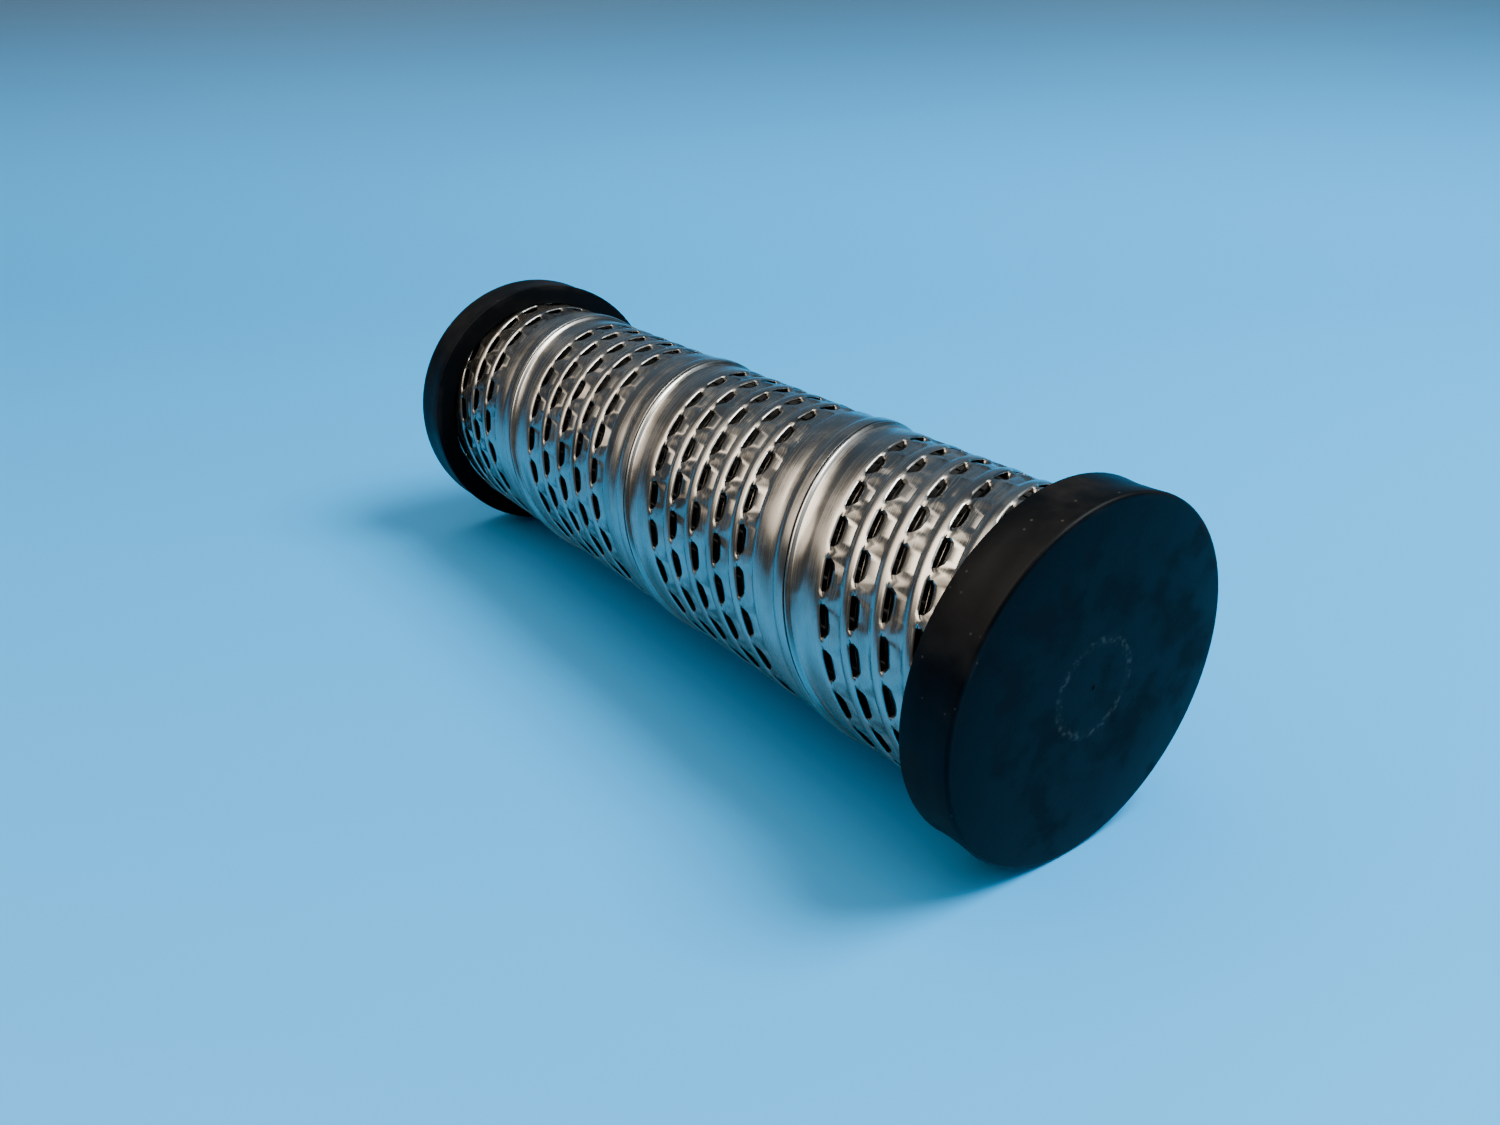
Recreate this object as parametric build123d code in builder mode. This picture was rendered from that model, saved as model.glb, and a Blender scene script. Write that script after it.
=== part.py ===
"""Prefilter cartridge: a spiral-wound louvred steel tube between two moulded end caps.

The axis is Z and the open cap's outer face lies on z = 0.  The pleated filter pack and its
perforated core stand inside the tube, and both caps are moulded over the ends of all three.
"""

import os
from math import atan2, ceil, cos, floor, pi, sin

from build123d import *

# Envelope
overall_length = 180.0
cap_diameter = 60.0
cap_thickness = 9.5
cap_floor = 4.0
cap_edge_chamfer = 0.7
moulding_fit = 0.05

# Louvred tube, wound from one punched strip with a lock seam
tube_diameter = 51.2
strip_wall = 1.0
strip_lead = 49.2
wall_flats = 24
seam_start_height = -9.8
seam_width = 5.0
seam_crown = 2.4
seam_height = 0.6

# Louvre pattern, measured on the flat strip from the middle of the seam
louvre_rows = 5
first_row = 9.6
row_spacing = 6.5
louvre_pitch = 7.2
row_stagger = 5.4
first_louvre = 5.25
louvre_length = 5.4
louvre_ramp = 3.3
louvre_depth = 1.6
slit_width = 1.2

# Perforated core
core_diameter = 26.0
core_wall = 0.6
core_flats = 12
core_hole_diameter = 6.0
core_hole_sides = 6
core_holes_around = 4
core_hole_rows = 8
core_row_spacing = 18.0

# Pleated filter pack
pleat_count = 40
pleat_fold = 4.0
pack_clearance = 0.3

# Open cap's outlet
bore_diameter = 21.0
bore_chamfer = 1.2

cap_radius = cap_diameter / 2
tube_radius = tube_diameter / 2
tube_inner_radius = tube_radius - strip_wall
tube_height = overall_length - 2 * cap_floor
core_radius = core_diameter / 2
core_inner_radius = core_radius - core_wall
collar_radius = core_inner_radius * cos(pi / core_flats) - moulding_fit
bore_radius = bore_diameter / 2
pack_outer_radius = tube_inner_radius * cos(pi / wall_flats) - pack_clearance
pack_inner_radius = core_radius + pack_clearance
socket_radius = tube_radius + moulding_fit
socket_depth = cap_thickness - cap_floor
strip_slope = atan2(strip_lead, 2 * pi * tube_radius)


def wound_plane(along, across):
    """Plane on the tube for a point of the flat strip: x down the strip's width, y outwards."""
    turn = (along * cos(strip_slope) - across * sin(strip_slope)) / tube_radius
    height = seam_start_height + along * sin(strip_slope) + across * cos(strip_slope)
    outward = Vector(cos(turn), sin(turn), 0)
    sideways = Vector(-sin(turn), cos(turn), 0)
    back_along = sideways * -cos(strip_slope) - Vector(0, 0, sin(strip_slope))
    strip_width = sideways * sin(strip_slope) - Vector(0, 0, cos(strip_slope))
    surface_point = outward * tube_radius + Vector(0, 0, height)
    return Plane(surface_point, x_dir=strip_width, z_dir=back_along)


def seam_plane(corner):
    """Upright plane through the axis where the seam crosses a corner of the rolled wall."""
    turn = 360 / wall_flats * corner
    outward = Vector(1, 0, 0).rotate(Axis.Z, turn)
    height = seam_start_height + strip_lead * turn / 360
    corner_point = outward * tube_radius + Vector(0, 0, height)
    return Plane(corner_point, x_dir=outward, z_dir=outward.cross(Vector(0, 0, 1)))


def louvre_planes():
    """One plane for each louvre whose centre shows between the caps."""
    planes = []
    for row in range(louvre_rows):
        across = first_row + row * row_spacing
        offset = first_louvre + row * row_stagger
        row_height = seam_start_height + across * cos(strip_slope)
        lowest = (cap_thickness - row_height) / sin(strip_slope)
        highest = (overall_length - cap_thickness - row_height) / sin(strip_slope)
        first = ceil((lowest - offset) / louvre_pitch)
        last = floor((highest - offset) / louvre_pitch)
        for number in range(first, last + 1):
            planes.append(wound_plane(offset + number * louvre_pitch, across))
    return planes


# Louvre cut: a floor that slopes inwards to a slit under the next rail
with BuildPart() as louvre_cut:
    with BuildSketch(Plane.XY.offset(-louvre_length / 2)):
        with BuildLine():
            Polyline(
                (-louvre_ramp, 0),
                (slit_width / 2, -louvre_depth),
                (slit_width, -louvre_depth),
                (slit_width, strip_wall),
                (-louvre_ramp, strip_wall),
                close=True,
            )
        make_face()
    extrude(amount=louvre_length)

# Lock seam: a flat-topped ridge that climbs with the strip and stops short of both caps
seam_turns = (overall_length - 2 * seam_start_height) / strip_lead
with BuildPart() as lock_seam:
    with BuildSketch(*[seam_plane(corner) for corner in range(ceil(seam_turns * wall_flats))]):
        with BuildLine():
            Polyline(
                (-strip_wall / 2, -seam_width / 2),
                (0, -seam_width / 2),
                (seam_height, -seam_crown / 2),
                (seam_height, seam_crown / 2),
                (0, seam_width / 2),
                (-strip_wall / 2, seam_width / 2),
                close=True,
            )
        make_face()
    loft(ruled=True)
    with BuildSketch(Plane.XY.offset(cap_thickness + moulding_fit)):
        Circle(cap_radius)
    extrude(
        amount=overall_length - 2 * (cap_thickness + moulding_fit),
        mode=Mode.INTERSECT,
    )

# Louvred tube, rolled in flats about as long as a louvre
with BuildPart() as louvred_tube:
    with BuildSketch(Plane.XY.offset(cap_floor)):
        RegularPolygon(tube_radius, wall_flats)
        RegularPolygon(tube_inner_radius, wall_flats, mode=Mode.SUBTRACT)
    extrude(amount=tube_height)
    with Locations(*[plane.location for plane in louvre_planes()]):
        add(louvre_cut.part, mode=Mode.SUBTRACT)
    add(lock_seam.part)
louvred_tube.part.label = "louvred_tube"

# Closed end cap, moulded over the upper ends
with BuildPart() as closed_end_cap:
    with BuildSketch(Plane.XY.offset(overall_length - cap_thickness)):
        Circle(cap_radius)
    extrude(amount=cap_thickness)
    chamfer(closed_end_cap.edges().sort_by(Axis.Z)[-1], cap_edge_chamfer)
    with BuildSketch(Plane.XY.offset(overall_length - cap_thickness)):
        Circle(socket_radius)
    extrude(amount=socket_depth, mode=Mode.SUBTRACT)
closed_end_cap.part.label = "closed_end_cap"

# Open end cap, with the outlet bore and a collar that lines the core's mouth
with BuildPart() as open_end_cap:
    Cylinder(cap_radius, cap_thickness, align=(Align.CENTER, Align.CENTER, Align.MIN))
    chamfer(open_end_cap.edges().sort_by(Axis.Z)[0], cap_edge_chamfer)
    with BuildSketch(Plane.XY.offset(cap_floor)):
        Circle(socket_radius)
        Circle(collar_radius, mode=Mode.SUBTRACT)
    extrude(amount=socket_depth, mode=Mode.SUBTRACT)
    Cylinder(
        bore_radius,
        cap_thickness,
        align=(Align.CENTER, Align.CENTER, Align.MIN),
        mode=Mode.SUBTRACT,
    )
    bore_mouth = open_end_cap.edges().filter_by(GeomType.CIRCLE).group_by(Axis.Z)[0]
    chamfer(bore_mouth.sort_by(SortBy.RADIUS)[0], bore_chamfer)
open_end_cap.part.label = "open_end_cap"

# Core tube, rolled in flats and perforated in staggered rows
with BuildPart() as core_tube:
    with BuildSketch(Plane.XY.offset(cap_floor)):
        RegularPolygon(core_radius, core_flats)
        RegularPolygon(core_inner_radius, core_flats, mode=Mode.SUBTRACT)
    extrude(amount=tube_height)
    for row in range(core_hole_rows):
        row_height = overall_length / 2 + (row - (core_hole_rows - 1) / 2) * core_row_spacing
        turn = (row % 2 + 0.5) * 360 / core_flats
        with BuildSketch(
            *[
                Plane(
                    (0, 0, row_height),
                    x_dir=(0, 0, 1),
                    z_dir=Vector(1, 0, 0).rotate(Axis.Z, turn + hole * 360 / core_holes_around),
                )
                for hole in range(core_holes_around)
            ]
        ):
            RegularPolygon(core_hole_diameter / 2, core_hole_sides)
        extrude(amount=core_diameter, mode=Mode.SUBTRACT)
core_tube.part.label = "core_tube"

# Pleated filter pack: one sheet folded in and out all the way round
fold_angle = 180 / pleat_count
outer_line = []
inner_line = []
for fold in range(2 * pleat_count):
    if fold % 2:
        outer_line.append(Vector(pack_outer_radius, 0).rotate(Axis.Z, fold * fold_angle))
        inner_line.append(Vector(pack_outer_radius - pleat_fold, 0).rotate(Axis.Z, fold * fold_angle))
    else:
        outer_line.append(Vector(pack_inner_radius + pleat_fold, 0).rotate(Axis.Z, fold * fold_angle))
        inner_line.append(Vector(pack_inner_radius, 0).rotate(Axis.Z, fold * fold_angle))
with BuildPart() as pleated_pack:
    with BuildSketch(Plane.XY.offset(cap_floor)):
        with BuildLine():
            Polyline(*outer_line, close=True)
        make_face()
        with BuildLine():
            Polyline(*inner_line, close=True)
        make_face(mode=Mode.SUBTRACT)
    extrude(amount=tube_height)
pleated_pack.part.label = "pleated_pack"

os.makedirs("parts", exist_ok=True)
for piece in (louvred_tube, closed_end_cap, open_end_cap, core_tube, pleated_pack):
    export_step(piece.part, f"parts/{piece.part.label}.step")
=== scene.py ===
from math import atan2, ceil, cos, floor, pi, sin, sqrt

import bmesh
import bpy
from mathutils import Matrix, Vector, noise


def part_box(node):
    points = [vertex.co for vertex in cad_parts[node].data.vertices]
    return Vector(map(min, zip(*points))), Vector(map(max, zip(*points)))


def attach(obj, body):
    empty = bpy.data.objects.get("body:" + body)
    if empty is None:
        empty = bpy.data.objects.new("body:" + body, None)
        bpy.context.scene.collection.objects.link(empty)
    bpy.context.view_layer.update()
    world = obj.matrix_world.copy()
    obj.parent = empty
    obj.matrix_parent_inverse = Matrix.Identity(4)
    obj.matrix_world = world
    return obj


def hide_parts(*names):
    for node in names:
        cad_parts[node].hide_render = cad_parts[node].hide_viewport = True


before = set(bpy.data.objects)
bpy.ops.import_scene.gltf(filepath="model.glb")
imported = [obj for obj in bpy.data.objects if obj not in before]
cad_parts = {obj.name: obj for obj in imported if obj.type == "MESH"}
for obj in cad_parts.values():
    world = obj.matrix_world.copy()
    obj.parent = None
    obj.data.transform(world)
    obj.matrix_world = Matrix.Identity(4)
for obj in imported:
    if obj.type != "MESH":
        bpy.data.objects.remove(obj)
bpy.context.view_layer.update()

# Places that the frame gives
closed_low, closed_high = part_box("closed_end_cap")
open_low, open_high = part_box("open_end_cap")
wall_low, wall_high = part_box("louvred_tube")
cap_radius = closed_high.x
pack_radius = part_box("pleated_pack")[1].x

# Wound strip, cut short by its hidden end inside each cap
tube_radius = 0.0256
strip_lead = 0.0492
seam_start_height = -0.0098
seam_top = 0.0006
sheet_thickness = 0.0003
hidden_end = 0.002
strip_slope = atan2(strip_lead, 2 * pi * tube_radius)
strip_width = strip_lead * cos(strip_slope)

# Louvre lattice on the flat strip, measured from the middle of the seam
louvre_rows = 5
first_row = 0.0096
row_spacing = 0.0065
louvre_pitch = 0.0072
row_stagger = 0.0054
first_louvre = 0.00525
louvre_length = 0.0054
cell_columns = 8
column_width = louvre_pitch / cell_columns

# Lines across one row: a crease, three on the rail, the rail's edge, four on the flap,
# one in the pocket and the next crease
crease = 0.00335
rail_edge = -0.00125
row_lines = (
    crease - row_spacing, -0.00275, -0.0023, -0.00175, rail_edge,
    -0.0009, -0.0004, 0.0003, 0.0011, 0.0024, crease,
)
first_flap_line = 5
last_flap_line = 8

# Lifts off the rolled surface
crease_lift = -0.00015
rail_lifts = (crease_lift, -0.00001, 0, -0.00005)
rail_side = -0.00015
bridge_lift = -0.00013
pocket_depth = 0.00051
rim_drop = 0.00024
dish_depth = 0.00080
lip_rise = 0.00005
flap_sag = 0.00002

# Shares of the depths, and shifts along the row, for the columns from bridge to bridge
pocket_run = (0, 0.86, 0.97, 1.0, 1.0, 1.0, 1.0, 0.92, 0)
dish_run = (0, 0.30, 0.92, 1.0, 1.0, 1.0, 0.92, 0.30, 0)
end_shift = (0, 0.00008, -0.00042, -0.00020, 0, 0.00020, 0.00042, -0.00008, 0)
shift_shares = (1, 1, 0.7, 0.2)

# Outline of the flap, measured across from the rail's edge
slit_width = 0.00010
slit_bow = 0.00006
lip_width = 0.00014
rim_start = 0.0003
rim_bow = 0.0020
bow_fullness = 0.93
slit_reach = 0.00020

# Waves of the rolled sheet, and small dents where it is pressed in deeper than dents_below
wave_height = 0.000022
waves_along = 240
waves_across = 150
dent_height = 0.00006
dent_rate = 1300
dent_layer = 5
dents_below = -0.00028

# How close two points are when they count as one
same_place = 0.00001
merge_reach = column_width / 20

# Angles above which an edge stays crisp
crisp_fold = 0.6
crisp_moulding = 0.5

# Camera of the photograph, in the part's frame
camera_place = Vector((0.14394, -0.05070, 0.26576))
camera_right = Vector((-0.7769, -0.2153, 0.5916))
camera_up = Vector((0.0, -0.9397, -0.3420))
camera_lens = 27.52
sensor_width = 36.0
table_up = Vector((0.2672, -0.9636, 0.0))


def new_piece(name, bm, material, *nodes):
    """Turns a finished bmesh into a piece that rides on the part and stands for its nodes."""
    mesh = bpy.data.meshes.new(name)
    bm.to_mesh(mesh)
    bm.free()
    piece = bpy.data.objects.new(name, mesh)
    bpy.context.collection.objects.link(piece)
    mesh.materials.append(material)
    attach(piece, "root")
    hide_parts(*nodes)
    return piece


def smooth(piece, angle):
    """Shades a piece smooth and keeps its edges above the angle crisp."""
    for face in piece.data.polygons:
        face.use_smooth = True
    piece.data.set_sharp_from_angle(angle=angle)


def nearest(places, value):
    """Number of the place that lies nearest to the value."""
    return min(range(len(places)), key=lambda number: abs(places[number] - value))


def flat_grid(bm, columns, lines):
    """A grid in the XY plane whose vertices stand on the given columns and lines."""
    made = bmesh.ops.create_grid(
        bm, x_segments=len(columns) - 1, y_segments=len(lines) - 1, size=0.5
    )["verts"]
    for vert in made:
        column = round((vert.co.x + 0.5) * (len(columns) - 1))
        line = round((vert.co.y + 0.5) * (len(lines) - 1))
        vert.co = Vector((columns[column], lines[line], 0))
    return made


# Shader helpers


def feed(tree, socket, value):
    """Gives a socket a plain value or colour, or a link from another socket."""
    if isinstance(value, bpy.types.NodeSocket):
        tree.links.new(value, socket)
    elif socket.type == "RGBA":
        socket.default_value = (*value, 1)
    else:
        socket.default_value = value


def node_of(tree, kind, **values):
    node = tree.nodes.new(kind)
    for name, value in values.items():
        setattr(node, name, value)
    return node


def mapped(tree, source, scale, turn=0):
    """Stretches coordinates, then turns them about Z."""
    mapping = node_of(tree, "ShaderNodeMapping")
    mapping.inputs["Rotation"].default_value = (0, 0, turn)
    mapping.inputs["Scale"].default_value = scale
    tree.links.new(source, mapping.inputs["Vector"])
    return mapping.outputs["Vector"]


def noise_of(tree, vector, scale, detail=3.0):
    tex = node_of(tree, "ShaderNodeTexNoise")
    tex.inputs["Scale"].default_value = scale
    tex.inputs["Detail"].default_value = detail
    tex.inputs["Roughness"].default_value = 0.55
    tree.links.new(vector, tex.inputs["Vector"])
    return tex.outputs["Fac"]


def ramp_of(tree, value, low, high, to_low=0.0, to_high=1.0):
    """Smooth step of a value from one range to another."""
    ramp = node_of(tree, "ShaderNodeMapRange", interpolation_type="SMOOTHSTEP")
    feed(tree, ramp.inputs["From Min"], low)
    feed(tree, ramp.inputs["From Max"], high)
    ramp.inputs["To Min"].default_value = to_low
    ramp.inputs["To Max"].default_value = to_high
    tree.links.new(value, ramp.inputs["Value"])
    return ramp.outputs["Result"]


def maths(tree, operation, first, second):
    node = node_of(tree, "ShaderNodeMath", operation=operation)
    feed(tree, node.inputs[0], first)
    feed(tree, node.inputs[1], second)
    return node.outputs[0]


def dot_of(tree, vector, direction):
    """How far a vector reaches along a direction."""
    node = node_of(tree, "ShaderNodeVectorMath", operation="DOT_PRODUCT")
    tree.links.new(vector, node.inputs[0])
    node.inputs[1].default_value = direction
    return node.outputs["Value"]


def tinted(tree, mask, first, second):
    """The first colour where the mask is 0 and the second where it is 1."""
    node = node_of(tree, "ShaderNodeMix", data_type="RGBA")
    feed(tree, node.inputs["A"], first)
    feed(tree, node.inputs["B"], second)
    tree.links.new(mask, node.inputs["Factor"])
    return node.outputs["Result"]


def radius_of(tree, place):
    """Distance from the cartridge's axis."""
    flat = node_of(tree, "ShaderNodeVectorMath", operation="MULTIPLY")
    flat.inputs[1].default_value = (1, 1, 0)
    tree.links.new(place, flat.inputs[0])
    length = node_of(tree, "ShaderNodeVectorMath", operation="LENGTH")
    tree.links.new(flat.outputs["Vector"], length.inputs[0])
    return length.outputs["Value"]


def bumped(tree, shader, height, strength, distance):
    bump = node_of(tree, "ShaderNodeBump")
    bump.inputs["Strength"].default_value = strength
    bump.inputs["Distance"].default_value = distance
    tree.links.new(height, bump.inputs["Height"])
    tree.links.new(bump.outputs["Normal"], shader.inputs["Normal"])


# Effects that several materials share


def new_group(name, settings, masks):
    """A node group that takes a vector and some settings and gives masks."""
    group = bpy.data.node_groups.new(name, "ShaderNodeTree")
    group.interface.new_socket("Vector", in_out="INPUT", socket_type="NodeSocketVector")
    for label, value in settings.items():
        socket = group.interface.new_socket(label, in_out="INPUT", socket_type="NodeSocketFloat")
        socket.default_value = value
    for label in masks:
        group.interface.new_socket(label, in_out="OUTPUT", socket_type="NodeSocketFloat")
    entry = group.nodes.new("NodeGroupInput")
    leave = group.nodes.new("NodeGroupOutput")
    return group, entry.outputs, leave.inputs


def placed_group(tree, group, vector, settings):
    node = node_of(tree, "ShaderNodeGroup", node_tree=group)
    tree.links.new(vector, node.inputs["Vector"])
    for label, value in settings.items():
        node.inputs[label].default_value = value
    return node.outputs


def rolled_grain_group():
    """Drawing lines, scratches and tarnish of a rolled strip; Vector runs along the strip in X."""
    fine_line_scale = (14, 5200, 900)
    wide_line_scale = (5, 900, 260)
    scratch_scale = (90, 2400, 500)
    scratch_turn = 0.09
    cloud_scale = (90, 160, 160)
    group, given, out = new_group(
        "rolled_grain",
        {"Tarnish Start": 0.42, "Tarnish Full": 0.68},
        ("Lines", "Scratches", "Tarnish"),
    )
    fine = noise_of(group, mapped(group, given["Vector"], fine_line_scale), 1.0)
    wide = noise_of(group, mapped(group, given["Vector"], wide_line_scale), 1.0)
    lines = maths(group, "ADD", fine, wide)
    group.links.new(maths(group, "MULTIPLY", lines, 0.5), out["Lines"])
    slanted = mapped(group, given["Vector"], scratch_scale, scratch_turn)
    scratch = noise_of(group, slanted, 1.0, detail=1.0)
    group.links.new(ramp_of(group, scratch, 0.68, 0.76), out["Scratches"])
    cloud = noise_of(group, mapped(group, given["Vector"], cloud_scale), 1.0, detail=4.0)
    tarnish = ramp_of(group, cloud, given["Tarnish Start"], given["Tarnish Full"])
    group.links.new(tarnish, out["Tarnish"])
    return group


def dust_group():
    """Settled specks and a soft film, as masks."""
    speck_scale = 700
    film_scale = 120
    group, given, out = new_group(
        "settled_dust",
        {"Speck Start": 0.80, "Speck Full": 0.84, "Film Start": 0.40, "Film Full": 0.75},
        ("Specks", "Film"),
    )
    specks = node_of(group, "ShaderNodeTexVoronoi", feature="F1")
    specks.inputs["Scale"].default_value = speck_scale
    group.links.new(given["Vector"], specks.inputs["Vector"])
    near = ramp_of(group, specks.outputs["Distance"], 0.10, 0.18, 1.0, 0.0)
    split = node_of(group, "ShaderNodeSeparateColor")
    group.links.new(specks.outputs["Color"], split.inputs["Color"])
    few = ramp_of(group, split.outputs["Red"], given["Speck Start"], given["Speck Full"])
    group.links.new(maths(group, "MULTIPLY", near, few), out["Specks"])
    film = noise_of(group, given["Vector"], film_scale, detail=5.0)
    group.links.new(ramp_of(group, film, given["Film Start"], given["Film Full"]), out["Film"])
    return group


rolled_grain = rolled_grain_group()
settled_dust = dust_group()


# Materials


def start_material(name, roughness, metallic):
    material = bpy.data.materials.new(name)
    material.use_nodes = True
    shader = material.node_tree.nodes["Principled BSDF"]
    shader.inputs["Roughness"].default_value = roughness
    shader.inputs["Metallic"].default_value = metallic
    return material, material.node_tree, shader


def strip_steel():
    """Bright rolled strip with lines along its own length; what is pressed down is painted dark as shade.
    """
    bright = (0.36, 0.335, 0.305)
    tarnished = (0.25, 0.225, 0.195)
    line_colour = (0.27, 0.245, 0.215)
    painted_shade_colour = (0.055, 0.050, 0.045)
    # Painted shade: the colour darkens where the sheet lies deeper than the rolled surface, less so at the
    # very bottom so that the flap's lip still shows.
    painted_shade_from = tube_radius - 0.00068
    painted_shade_full = tube_radius - 0.00078
    painted_shade_eases = tube_radius - 0.00114
    painted_shade_least = tube_radius - 0.00118
    material, tree, shader = start_material("strip_steel", 0.24, 1.0)
    flat = node_of(tree, "ShaderNodeUVMap", uv_map="strip")
    grain = placed_group(
        tree, rolled_grain, flat.outputs["UV"], {"Tarnish Start": 0.42, "Tarnish Full": 0.68}
    )
    place = node_of(tree, "ShaderNodeTexCoord")
    dust = placed_group(
        tree, settled_dust, place.outputs["Object"], {"Film Start": 0.40, "Film Full": 0.75}
    )
    colour = tinted(tree, grain["Tarnish"], bright, tarnished)
    colour = tinted(tree, maths(tree, "MULTIPLY", grain["Lines"], 0.5), colour, line_colour)
    radius = radius_of(tree, place.outputs["Object"])
    below = ramp_of(tree, radius, painted_shade_full, painted_shade_from, 1, 0)
    above = ramp_of(tree, radius, painted_shade_least, painted_shade_eases, 0.45, 1)
    # Painted shade in the pressed-down recesses.
    colour = tinted(tree, maths(tree, "MULTIPLY", below, above), colour, painted_shade_colour)
    tree.links.new(colour, shader.inputs["Base Color"])
    line_roughness = ramp_of(tree, grain["Lines"], 0.35, 0.65, 0.16, 0.30)
    film_roughness = maths(tree, "MULTIPLY", dust["Film"], 0.10)
    rough = maths(tree, "ADD", line_roughness, film_roughness)
    tree.links.new(rough, shader.inputs["Roughness"])
    height = maths(tree, "SUBTRACT", grain["Lines"], grain["Scratches"])
    bumped(tree, shader, height, 0.15, 0.00001)
    return material


def core_steel():
    """Duller steel of the perforated core."""
    clean = (0.50, 0.50, 0.49)
    tarnished = (0.34, 0.33, 0.31)
    material, tree, shader = start_material("core_steel", 0.38, 1.0)
    place = node_of(tree, "ShaderNodeTexCoord")
    stretched = mapped(tree, place.outputs["Object"], (1, 1, 0.4))
    grain = placed_group(
        tree, rolled_grain, stretched, {"Tarnish Start": 0.42, "Tarnish Full": 0.68}
    )
    tree.links.new(tinted(tree, grain["Tarnish"], clean, tarnished), shader.inputs["Base Color"])
    bumped(tree, shader, grain["Lines"], 0.2, 0.00002)
    return material


def cap_rubber(name):
    """Matt black moulding; the face carries a faint dusty ring, the side a brown film."""
    black = (0.0016, 0.0018, 0.0022)
    film_brown = (0.013, 0.0105, 0.009)
    ring_grey = (0.10, 0.11, 0.09)
    speck_tan = (0.30, 0.24, 0.19)
    ring_inner = 0.0066
    ring_middle = 0.0079
    ring_outer = 0.0088
    side_from = cap_radius - 0.0016
    side_full = cap_radius - 0.0006
    material, tree, shader = start_material(name, 0.5, 0.0)
    shader.inputs["Specular IOR Level"].default_value = 0.05
    place = node_of(tree, "ShaderNodeTexCoord")
    dust = placed_group(
        tree,
        settled_dust,
        place.outputs["Object"],
        {"Speck Start": 0.80, "Speck Full": 0.84, "Film Start": 0.40, "Film Full": 0.75},
    )
    radius = radius_of(tree, place.outputs["Object"])
    side = ramp_of(tree, radius, side_from, side_full)
    film = maths(tree, "MULTIPLY", dust["Film"], ramp_of(tree, side, 0.0, 1.0, 0.05, 0.75))
    colour = tinted(tree, film, black, film_brown)
    inside = ramp_of(tree, radius, ring_inner, ring_middle)
    outside = ramp_of(tree, radius, ring_middle, ring_outer, 1, 0)
    broken = ramp_of(tree, noise_of(tree, place.outputs["Object"], 900, detail=4.0), 0.46, 0.66, 0.02, 0.30)
    ring = maths(tree, "MULTIPLY", maths(tree, "MULTIPLY", inside, outside), broken)
    colour = tinted(tree, ring, colour, ring_grey)
    speckled = maths(tree, "MULTIPLY", dust["Specks"], ramp_of(tree, side, 0.0, 1.0, 0.015, 0.12))
    colour = tinted(tree, speckled, colour, speck_tan)
    tree.links.new(colour, shader.inputs["Base Color"])
    tree.links.new(ramp_of(tree, dust["Film"], 0.0, 1.0, 0.42, 0.60), shader.inputs["Roughness"])
    pores = noise_of(tree, place.outputs["Object"], 1500, detail=4.0)
    bumped(tree, shader, pores, 0.25, 0.00008)
    return material


def filter_sheet():
    """Oil-stained filter sheet, painted near black as well for the shade it lies in inside the tube."""
    # Painted shade: both tones are darker than the sheet's own oil stain, for the shade behind the slits.
    shaded_dark_stain = (0.014, 0.011, 0.008)
    shaded_light_stain = (0.030, 0.024, 0.018)
    material, tree, shader = start_material("filter_sheet", 0.9, 0.0)
    place = node_of(tree, "ShaderNodeTexCoord")
    fibre = noise_of(tree, place.outputs["Object"], 2600, detail=5.0)
    cloud = noise_of(tree, place.outputs["Object"], 160)
    colour = tinted(tree, ramp_of(tree, cloud, 0.35, 0.65), shaded_dark_stain, shaded_light_stain)
    tree.links.new(colour, shader.inputs["Base Color"])
    bumped(tree, shader, fibre, 0.5, 0.0001)
    return material


# Louvred wall


def louvre_cell(bm):
    """One pitch of one row, from bridge to bridge along X and from crease to crease along Y.

    The row's middle lies on Y = 0.  A dished flap, straight along its slit and round behind it,
    hangs under the rail on the lower side; a pocket falls to it from the rail on the upper side.
    """
    columns = [column * column_width for column in range(cell_columns + 1)]
    for vert in flat_grid(bm, columns, row_lines):
        column = round(vert.co.x / column_width)
        line = nearest(row_lines, vert.co.y)
        beside_bridge = column in (0, cell_columns)
        pocket = bridge_lift - pocket_depth * pocket_run[column]
        rim_lift = bridge_lift - rim_drop * dish_run[column]
        dish = rim_lift - dish_depth * dish_run[column]
        if beside_bridge:
            slit_side = (bridge_lift, bridge_lift, bridge_lift, bridge_lift)
        else:
            slit_side = (rail_side, dish + lip_rise, dish, (dish + rim_lift) / 2 - flap_sag)
        vert.co.z = (rail_lifts + slit_side + (rim_lift, pocket, crease_lift))[line]
        if first_flap_line <= line <= last_flap_line and not beside_bridge:
            middle = (vert.co.x - louvre_pitch / 2) / (louvre_length / 2)
            bow = sqrt(max(0.0, 1 - (bow_fullness * middle) ** 2))
            lip = rail_edge + slit_width + slit_bow * bow
            rim = rail_edge + rim_start + rim_bow * bow
            flap_line = line - first_flap_line
            vert.co.y = (lip, lip + lip_width, (lip + rim) / 2, rim)[flap_line]
            vert.co.x += end_shift[column] * shift_shares[flap_line]
    slit = [
        face for face in bm.faces
        if column_width / 2 < face.calc_center_median().x < louvre_pitch - column_width / 2
        and min(vert.co.y for vert in face.verts) > rail_edge - same_place
        and max(vert.co.y for vert in face.verts) < rail_edge + slit_reach
    ]
    bmesh.ops.delete(bm, geom=slit, context="FACES")


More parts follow.
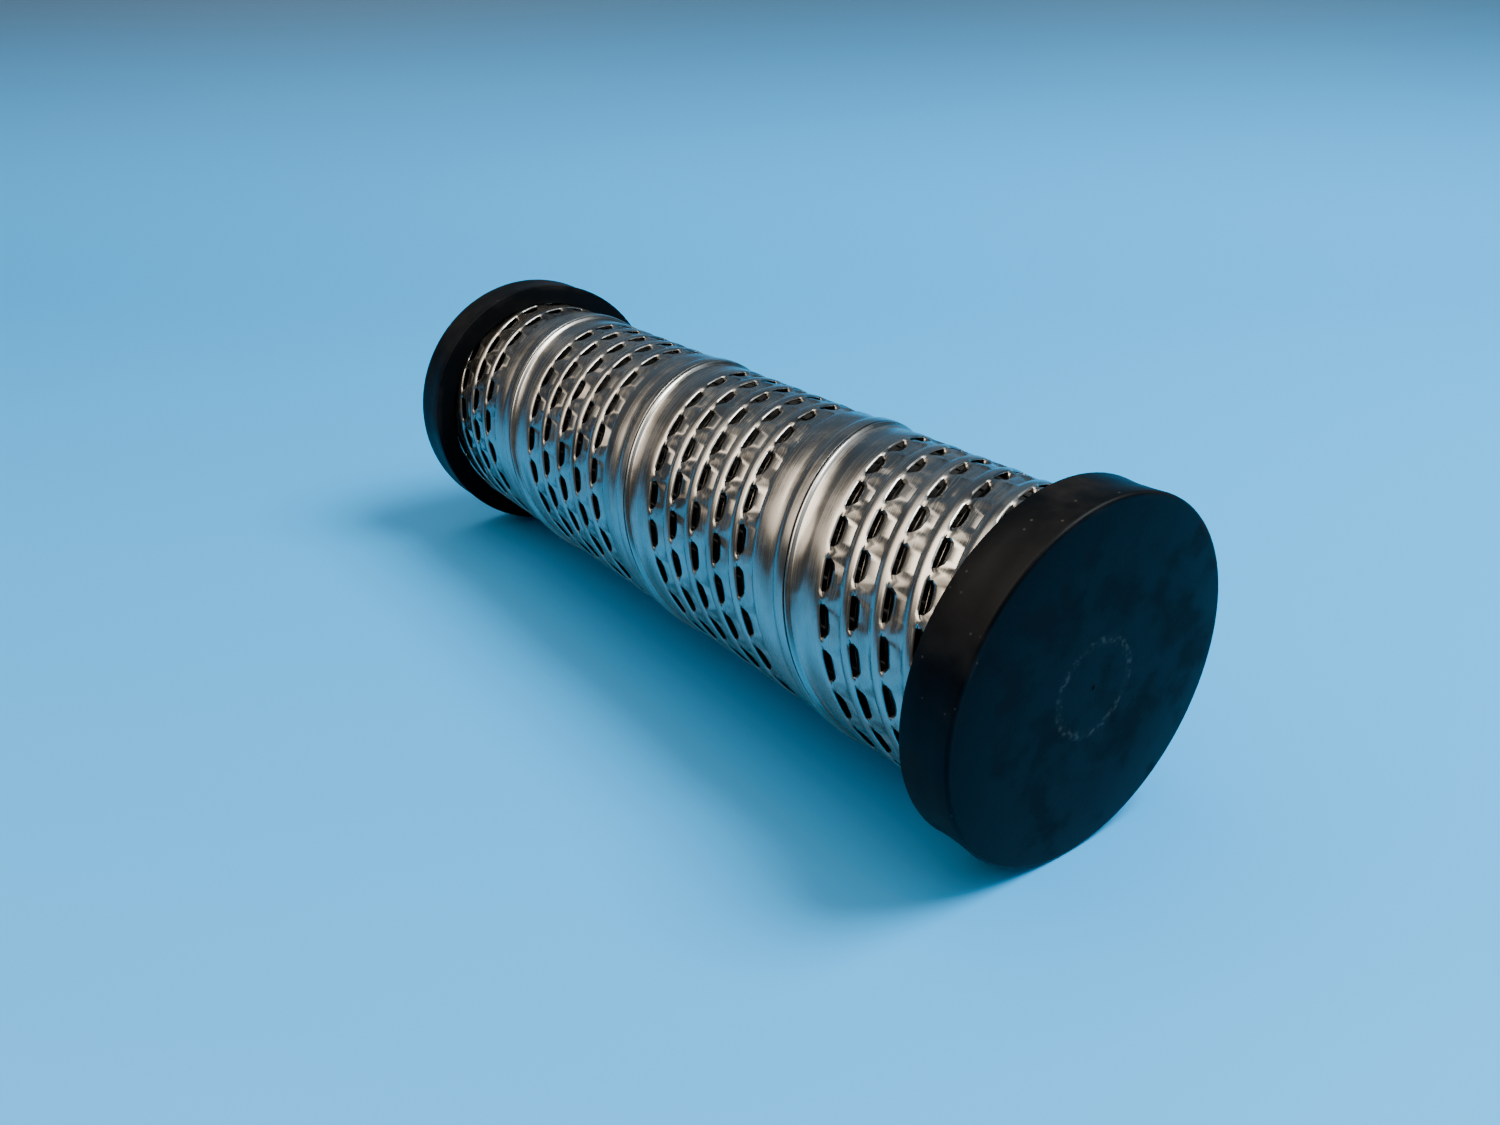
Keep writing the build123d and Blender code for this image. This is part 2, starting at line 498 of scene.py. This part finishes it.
# Cross-section of the seam: distance across the strip from the seam's middle, and lift
seam_far_side = (
    (-0.0076, 0.00003), (-0.0073, -0.00001), (-0.0070, 0.00005), (-0.0042, -0.00017),
    (-0.0040, -0.00020), (-0.0031, -0.00020), (-0.0028, -0.00017), (-0.0026, 0.00012),
    (-0.0021, 0.00040), (-0.0017, 0.00052), (-0.0012, 0.00055), (-0.0004, 0.00056),
    (0.0003, 0.00053), (0.00044, 0.00034),
)
seam_near_side = (
    (0.00056, 0.00028), (0.00066, 0.00045), (0.0008, 0.00050), (0.0010, 0.00046),
    (0.00115, 0.00034), (0.0014, -0.00016), (0.0017, -0.00030), (0.0044, -0.00014),
)


def strip_reach():
    """First and last place along the strip that the tube's height needs."""
    lowest = (wall_low.z - seam_start_height - strip_width * cos(strip_slope)) / sin(strip_slope)
    highest = (wall_high.z - seam_start_height) / sin(strip_slope)
    return lowest - louvre_pitch, highest + louvre_pitch


def repeat(bm, count, step):
    """Fills up to count copies of what the bmesh holds, each one step further."""
    source = bm.verts[:] + bm.edges[:] + bm.faces[:]
    for number in range(1, count):
        copy = bmesh.ops.duplicate(bm, geom=source)["geom"]
        moved = [item for item in copy if isinstance(item, bmesh.types.BMVert)]
        bmesh.ops.translate(bm, verts=moved, vec=step * number)


def flat_strip():
    """The whole strip laid flat: five rows of louvres between the two halves of the seam."""
    start, end = strip_reach()
    cells = ceil((end - start) / louvre_pitch)
    cell = bmesh.new()
    louvre_cell(cell)
    repeat(cell, cells, Vector((louvre_pitch, 0, 0)))
    bmesh.ops.remove_doubles(cell, verts=cell.verts, dist=merge_reach)
    row_mesh = bpy.data.meshes.new("row")
    cell.to_mesh(row_mesh)
    cell.free()

    whole = bmesh.new()
    bridge = first_louvre - louvre_pitch / 2
    first_column = bridge + louvre_pitch * floor((start - bridge) / louvre_pitch)
    for row in range(louvre_rows):
        before = len(whole.verts)
        whole.from_mesh(row_mesh)
        whole.verts.ensure_lookup_table()
        behind = (row * row_stagger) % louvre_pitch
        bmesh.ops.translate(
            whole,
            verts=whole.verts[before:],
            vec=Vector((first_column + behind, first_row + row * row_spacing, 0)),
        )
    bpy.data.meshes.remove(row_mesh)

    # The first row's lower crease runs level into the seam
    near_line = first_row + crease - row_spacing
    for vert in whole.verts:
        if vert.co.y < near_line + row_spacing / 20:
            vert.co.z = 0

    far_line = first_row + (louvre_rows - 1) * row_spacing + crease - strip_width
    far_side = ((far_line, crease_lift),) + seam_far_side
    near_side = seam_near_side + ((near_line, 0),)
    column_count = (cells + 1) * cell_columns
    columns = [first_column + column * column_width for column in range(column_count)]
    for profile, offset in ((far_side, strip_width), (near_side, 0)):
        places = [place + offset for place, lift in profile]
        for vert in flat_grid(whole, columns, places):
            vert.co.z = profile[nearest(places, vert.co.y)][1]
    bmesh.ops.remove_doubles(whole, verts=whole.verts, dist=merge_reach)
    return whole


def wind(bm):
    """Winds the flat strip on the tube as a helix, with the sheet's waves and dents."""
    for vert in bm.verts:
        along, across, lift = vert.co
        lift += wave_height * noise.noise(Vector((along * waves_along, across * waves_across, 0)))
        if lift < dents_below:
            dent_place = Vector((along * dent_rate, across * dent_rate, dent_layer))
            lift += dent_height * noise.noise(dent_place)
        radius = tube_radius + min(lift, seam_top)
        turn = (along * cos(strip_slope) - across * sin(strip_slope)) / tube_radius
        height = seam_start_height + along * sin(strip_slope) + across * cos(strip_slope)
        vert.co = Vector((radius * cos(turn), radius * sin(turn), height))


def trim(bm, height, keep_below):
    """Cuts the wound strip square inside a cap."""
    bmesh.ops.bisect_plane(
        bm,
        geom=bm.verts[:] + bm.edges[:] + bm.faces[:],
        plane_co=(0, 0, height),
        plane_no=(0, 0, 1),
        clear_outer=keep_below,
        clear_inner=not keep_below,
    )


def louvred_wall():
    """The wound strip, whose UV map keeps where each point lay on the flat strip."""
    bm = flat_strip()
    strip_map = bm.loops.layers.uv.new("strip")
    for face in bm.faces:
        for loop in face.loops:
            loop[strip_map].uv = loop.vert.co.xy
    wind(bm)
    trim(bm, wall_low.z + hidden_end, False)
    trim(bm, wall_high.z - hidden_end, True)
    piece = new_piece("louvred_wall", bm, strip_steel(), "louvred_tube")
    wall = piece.modifiers.new("sheet", "SOLIDIFY")
    wall.thickness = sheet_thickness
    wall.offset = -1
    smooth(piece, crisp_fold)


# Moulded caps

cap_facets = 96
edge_round = 0.0007
edge_segments = 4
back_round = 0.0003
back_segments = 2
waist = 0.00025
upper_waist_share = 0.7
waist_inset = 0.003
nib_radius = 0.0005
nib_top_share = 0.7
nib_height = 0.00015
face_rings = (0.010, 0.020)
socket_radius = 0.02565
cap_floor = 0.004
bore_radius = 0.0105
bore_mouth = 0.0117
mouth_depth = 0.0012
collar_radius = 0.01193


def turned(name, points, face, back, material, node):
    """Spins an outline about the axis and rounds the rims of the cap's face and back."""
    bm = bmesh.new()
    verts = [bm.verts.new((radius, 0, height)) for radius, height in points]
    edges = [bm.edges.new(pair) for pair in zip(verts, verts[1:])]
    if points[0][0] > 0:
        edges.append(bm.edges.new((verts[-1], verts[0])))
    bmesh.ops.spin(
        bm,
        geom=verts + edges,
        cent=(0, 0, 0),
        axis=(0, 0, 1),
        angle=2 * pi,
        steps=cap_facets,
        use_merge=True,
    )
    bmesh.ops.remove_doubles(bm, verts=bm.verts, dist=same_place)
    for height, size, segments in ((face, edge_round, edge_segments), (back, back_round, back_segments)):
        rim = [
            edge for edge in bm.edges
            if all(
                abs(vert.co.xy.length - cap_radius) < 2 * same_place
                and abs(vert.co.z - height) < 2 * same_place
                for vert in edge.verts
            )
        ]
        bmesh.ops.bevel(
            bm, geom=rim, offset=size, segments=segments, affect="EDGES", profile=0.5, material=-1
        )
    bmesh.ops.recalc_face_normals(bm, faces=bm.faces)
    piece = new_piece(name, bm, material, node)
    smooth(piece, crisp_moulding)


def closed_cap():
    """The cap at the top, with the moulding's nib in the middle of its face."""
    top = closed_high.z
    back = closed_low.z
    face = top - nib_height
    seat = top - cap_floor
    outline = [
        (0, top),
        (nib_radius * nib_top_share, top),
        (nib_radius, face),
        *((ring, face) for ring in face_rings),
        (cap_radius, face),
        (cap_radius - waist * upper_waist_share, (face * 2 + back) / 3),
        (cap_radius - waist, (face + back * 2) / 3),
        (cap_radius, back),
        (socket_radius, back),
        (socket_radius, seat),
        (0, seat),
    ]
    rubber = cap_rubber("closed_cap_rubber")
    turned("closed_cap_moulding", outline, face, back, rubber, "closed_end_cap")


def open_cap():
    """The cap at the foot, with the outlet bore and the collar that lines the core's mouth."""
    face = open_low.z
    back = open_high.z
    outline = [
        (bore_mouth, face),
        (face_rings[-1], face),
        (cap_radius, face),
        (cap_radius - waist, face + waist_inset),
        (cap_radius - waist, back - waist_inset),
        (cap_radius, back),
        (socket_radius, back),
        (socket_radius, cap_floor),
        (collar_radius, cap_floor),
        (collar_radius, back),
        (bore_radius, back),
        (bore_radius, face + mouth_depth),
    ]
    rubber = cap_rubber("open_cap_rubber")
    turned("open_cap_moulding", outline, face, back, rubber, "open_end_cap")


# Filter sheet

pleats = 40
pleat_gap = 0.0005
pleat_inner_radius = 0.0136
fold_half_width = 0.0004
filter_thickness = 0.0005


def pleated_sheet():
    """The filter sheet folded in and out all the way round, with two points to each fold."""
    pleat_outer_radius = pack_radius - pleat_gap
    bm = bmesh.new()
    ring = bmesh.ops.create_circle(bm, segments=4 * pleats, radius=1)["verts"]
    fold = 2 * pi / pleats
    for vert in ring:
        index = round(atan2(vert.co.y, vert.co.x) / fold * 4) % (4 * pleats)
        pleat = index // 4
        corner = index % 4
        side = -1 if index % 2 else 1
        if corner in (0, 3):
            radius = pleat_outer_radius
            turn = (pleat + (corner == 3)) * fold + side * (fold_half_width / radius)
        else:
            radius = pleat_inner_radius
            turn = (pleat + 0.5) * fold - side * (fold_half_width / radius)
        vert.co = Vector((radius * cos(turn), radius * sin(turn), wall_low.z))
    sides = bmesh.ops.extrude_edge_only(bm, edges=bm.edges[:])["geom"]
    top = [item for item in sides if isinstance(item, bmesh.types.BMVert)]
    bmesh.ops.translate(bm, verts=top, vec=Vector((0, 0, wall_high.z - wall_low.z)))
    bmesh.ops.recalc_face_normals(bm, faces=bm.faces)
    piece = new_piece("pleated_sheet", bm, filter_sheet(), "pleated_pack")
    wall = piece.modifiers.new("sheet", "SOLIDIFY")
    wall.thickness = filter_thickness
    smooth(piece, crisp_fold)


louvred_wall()
closed_cap()
open_cap()
pleated_sheet()
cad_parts["core_tube"].material_slots[0].material = core_steel()


# Stage, lights and camera

camera_forward = camera_up.cross(camera_right)
view_along = (camera_forward - table_up * camera_forward.dot(table_up)).normalized()
view_right = view_along.cross(table_up)
part_middle = Vector((0, 0, closed_high.z / 2))

pale_blue = (0.0, 0.39, 0.84)
# Painted shade: the sweep's colour darkens with height, standing in for light that falls off up the
# backdrop.
painted_shade_blue = (0.004, 0.060, 0.11)
shade_starts_at = 0.015
shade_full_at = 0.16

table_half_width = 2.5
table_front = -1.6
table_middle = -0.4
backdrop_end = 2.4
bend_start = 0.30
bend_radius = 0.40
bend_angle = 1.35
bend_length = bend_radius * bend_angle
bend_count = 17
bend_step = bend_length / (bend_count - 1)


def as_seen(right, up, along):
    """A direction given as the photograph sees it, in the part's frame."""
    return (view_right * right + table_up * up + view_along * along).normalized()


def stage_material():
    """Pale floor, painted darker up the sweep as shade where less light reaches, clear from its back so
    that no view is blocked.
    """
    material, tree, shader = start_material("pale_floor", 0.55, 0.0)
    place = node_of(tree, "ShaderNodeTexCoord")
    height = dot_of(tree, place.outputs["Object"], table_up)
    # Painted shade that grows with height above the floor.
    shaded_by_height = ramp_of(tree, height, shade_starts_at - cap_radius, shade_full_at - cap_radius)
    tree.links.new(tinted(tree, shaded_by_height, pale_blue, painted_shade_blue), shader.inputs["Base Color"])
    clear = node_of(tree, "ShaderNodeBsdfTransparent")
    side = node_of(tree, "ShaderNodeNewGeometry")
    mix = node_of(tree, "ShaderNodeMixShader")
    tree.links.new(side.outputs["Backfacing"], mix.inputs["Fac"])
    tree.links.new(shader.outputs["BSDF"], mix.inputs[1])
    tree.links.new(clear.outputs["BSDF"], mix.inputs[2])
    tree.links.new(mix.outputs["Shader"], tree.nodes["Material Output"].inputs["Surface"])
    return material


def table():
    """The surface that the cartridge lies on in the photograph, which sweeps up behind it."""
    bend_lines = [bend_start + step * bend_step for step in range(bend_count)]
    lines = [table_front, table_middle] + bend_lines + [backdrop_end]
    bm = bmesh.new()
    flat_grid(bm, [-table_half_width, table_half_width], lines)
    for vert in bm.verts:
        past = vert.co.y - bend_start
        if past > 0:
            turn = min(past, bend_length) / bend_radius
            rest = max(0, past - bend_length)
            vert.co.y = bend_start + bend_radius * sin(turn) + rest * cos(turn)
            vert.co.z = bend_radius * (1 - cos(turn)) + rest * sin(turn)
    under_part = Matrix((view_right, view_along, table_up)).transposed().to_4x4()
    under_part.translation = part_middle - table_up * cap_radius
    bmesh.ops.transform(bm, matrix=under_part, verts=bm.verts)
    mesh = bpy.data.meshes.new("table")
    bm.to_mesh(mesh)
    bm.free()
    for face in mesh.polygons:
        face.use_smooth = True
    floor_sheet = bpy.data.objects.new("table", mesh)
    bpy.context.collection.objects.link(floor_sheet)
    mesh.materials.append(stage_material())


# Glows that the steel mirrors: direction as seen, inner and outer angle, colour
room_colour = (0.085, 0.092, 0.090)
backdrop_colour = (0.22, 0.50, 0.68)
soft_glows = (
    ((-0.82, 0.55, 0.12), 0.05, 0.28, (3.6, 3.2, 2.7)),
    ((-0.45, 0.87, -0.15), 0.10, 0.75, (1.6, 1.45, 1.25)),
    ((-0.15, 0.95, 0.35), 0.05, 0.42, (3.0, 2.9, 2.7)),
    ((0.70, 0.95, -0.12), 0.40, 0.90, (0.9, 1.05, 1.2)),
)


def surroundings():
    """A dim room with warm glows on the left and above and a cool one on the right.

    The camera itself sees a plain blue backdrop past the table's edge.
    """
    world = bpy.data.worlds.new("studio")
    world.use_nodes = True
    bpy.context.scene.world = world
    tree = world.node_tree
    place = node_of(tree, "ShaderNodeTexCoord")
    total = room_colour
    for direction, inner, outer, colour in soft_glows:
        facing = dot_of(tree, place.outputs["Generated"], as_seen(*direction))
        total = tinted(tree, ramp_of(tree, facing, cos(outer), cos(inner)), total, colour)
    seen = node_of(tree, "ShaderNodeLightPath").outputs["Is Camera Ray"]
    total = tinted(tree, seen, total, backdrop_colour)
    tree.links.new(total, tree.nodes["Background"].inputs["Color"])


def soft_box(name, direction, size, energy, colour, lights_matt):
    """A round lamp one metre off, facing the cartridge half way up.

    A lamp that does not light matt surfaces shows only where the steel or a cap mirrors it.
    """
    lamp = bpy.data.lights.new(name, "AREA")
    lamp.shape = "DISK"
    lamp.size = size
    lamp.energy = energy
    lamp.color = colour
    holder = bpy.data.objects.new(name, lamp)
    holder.visible_diffuse = lights_matt
    bpy.context.collection.objects.link(holder)
    towards = as_seen(*direction)
    holder.location = Vector((0, 0, wall_high.z / 2)) + towards
    holder.rotation_euler = towards.to_track_quat("Z", "Y").to_euler()


def photo_camera():
    """A camera that stands and looks as the photograph's did."""
    lens = bpy.data.cameras.new("photo_camera")
    lens.lens = camera_lens
    lens.sensor_width = sensor_width
    lens.sensor_fit = "HORIZONTAL"
    lens.clip_start = 0.01
    holder = bpy.data.objects.new("photo_camera", lens)
    bpy.context.collection.objects.link(holder)
    facing = Matrix((camera_right, camera_up, -camera_forward)).transposed().to_4x4()
    facing.translation = camera_place
    holder.matrix_world = facing
    bpy.context.scene.camera = holder


table()
surroundings()
soft_box(
    "over_shoulder",
    direction=(0.62, 0.95, -0.05),
    size=0.5,
    energy=18.0,
    colour=(0.84, 0.95, 1.0),
    lights_matt=True,
)
soft_box(
    "window",
    direction=(-0.45, 0.87, -0.15),
    size=0.98,
    energy=16.0,
    colour=(1.0, 0.90, 0.76),
    lights_matt=False,
)
photo_camera()
